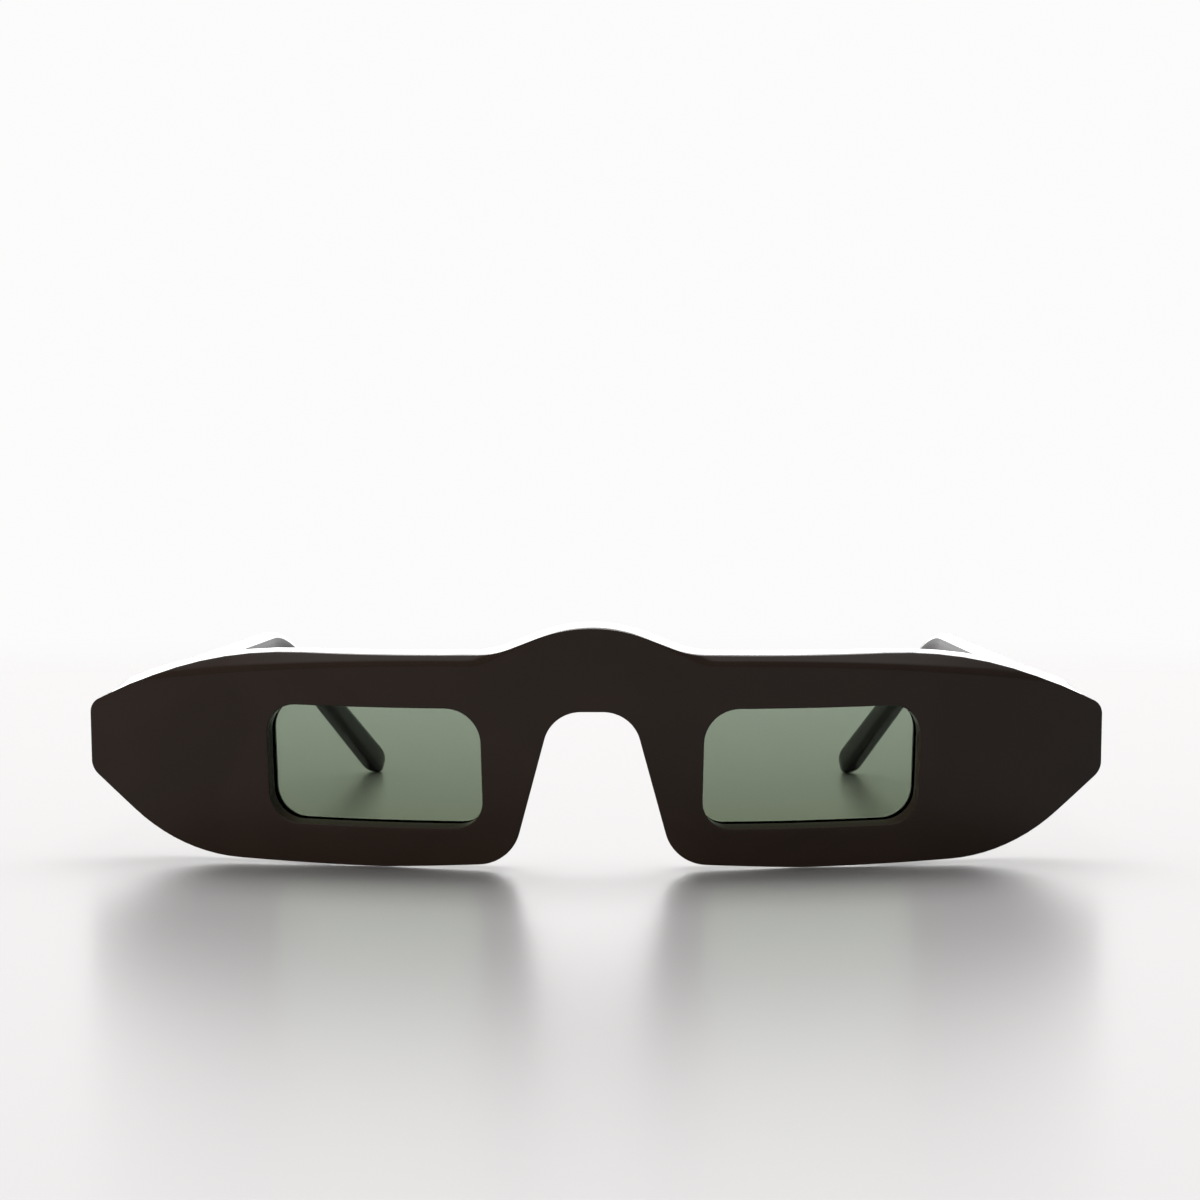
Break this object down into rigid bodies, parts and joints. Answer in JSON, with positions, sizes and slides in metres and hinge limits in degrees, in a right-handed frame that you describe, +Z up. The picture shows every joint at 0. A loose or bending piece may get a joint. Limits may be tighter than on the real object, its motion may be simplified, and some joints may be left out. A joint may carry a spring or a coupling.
{
  "type": "sunglasses",
  "caption": "Slim sunglasses: a thick bent front with small rounded rectangular lenses and a raised bridge, on slender hinged temples that bend down behind the ear.",
  "frame": {"origin": "on the table, under the middle of the standing glasses' outline", "axes": "+Z up, +Y back along the temples, +X towards the wearer's left; the front faces -Y"},
  "size_m": [0.148, 0.157, 0.0355],
  "materials": {
    "frame_acetate": "polished near-black acetate",
    "pad_acetate": "polished near-black acetate",
    "tinted_lens": "grey-green tint, polished",
    "hinge_steel": "satin",
    "screw_steel": "satin",
    "wire_steel": "drawn wire"
  },
  "bodies": {
    "front": {"front": "frame_acetate", "lens_left": "tinted_lens", "lens_right": "tinted_lens", "nose_pad_left": "pad_acetate", "nose_pad_right": "pad_acetate", "front_hinge_left": "hinge_steel", "front_hinge_right": "hinge_steel", "hinge_screw_left": "screw_steel", "hinge_screw_right": "screw_steel"},
    "temple_left": {"temple_left": "frame_acetate", "temple_hinge_left": "hinge_steel", "temple_rivets_left": "screw_steel", "core_wire_left": "wire_steel"},
    "temple_right": {"temple_right": "frame_acetate", "temple_hinge_right": "hinge_steel", "temple_rivets_right": "screw_steel", "core_wire_right": "wire_steel"}
  },
  "joints": [
    {"name": "temple_left_fold", "type": "hinge", "parent": "front", "child": "temple_left", "pos_m": [0.0615, -0.05525, 0.02296], "axis": [0, -0.1564, 0.9877], "range_deg": [0, 84]},
    {"name": "temple_right_fold", "type": "hinge", "parent": "front", "child": "temple_right", "pos_m": [-0.0615, -0.05525, 0.02296], "axis": [0, 0.1564, -0.9877], "range_deg": [0, 72]}
  ]
}
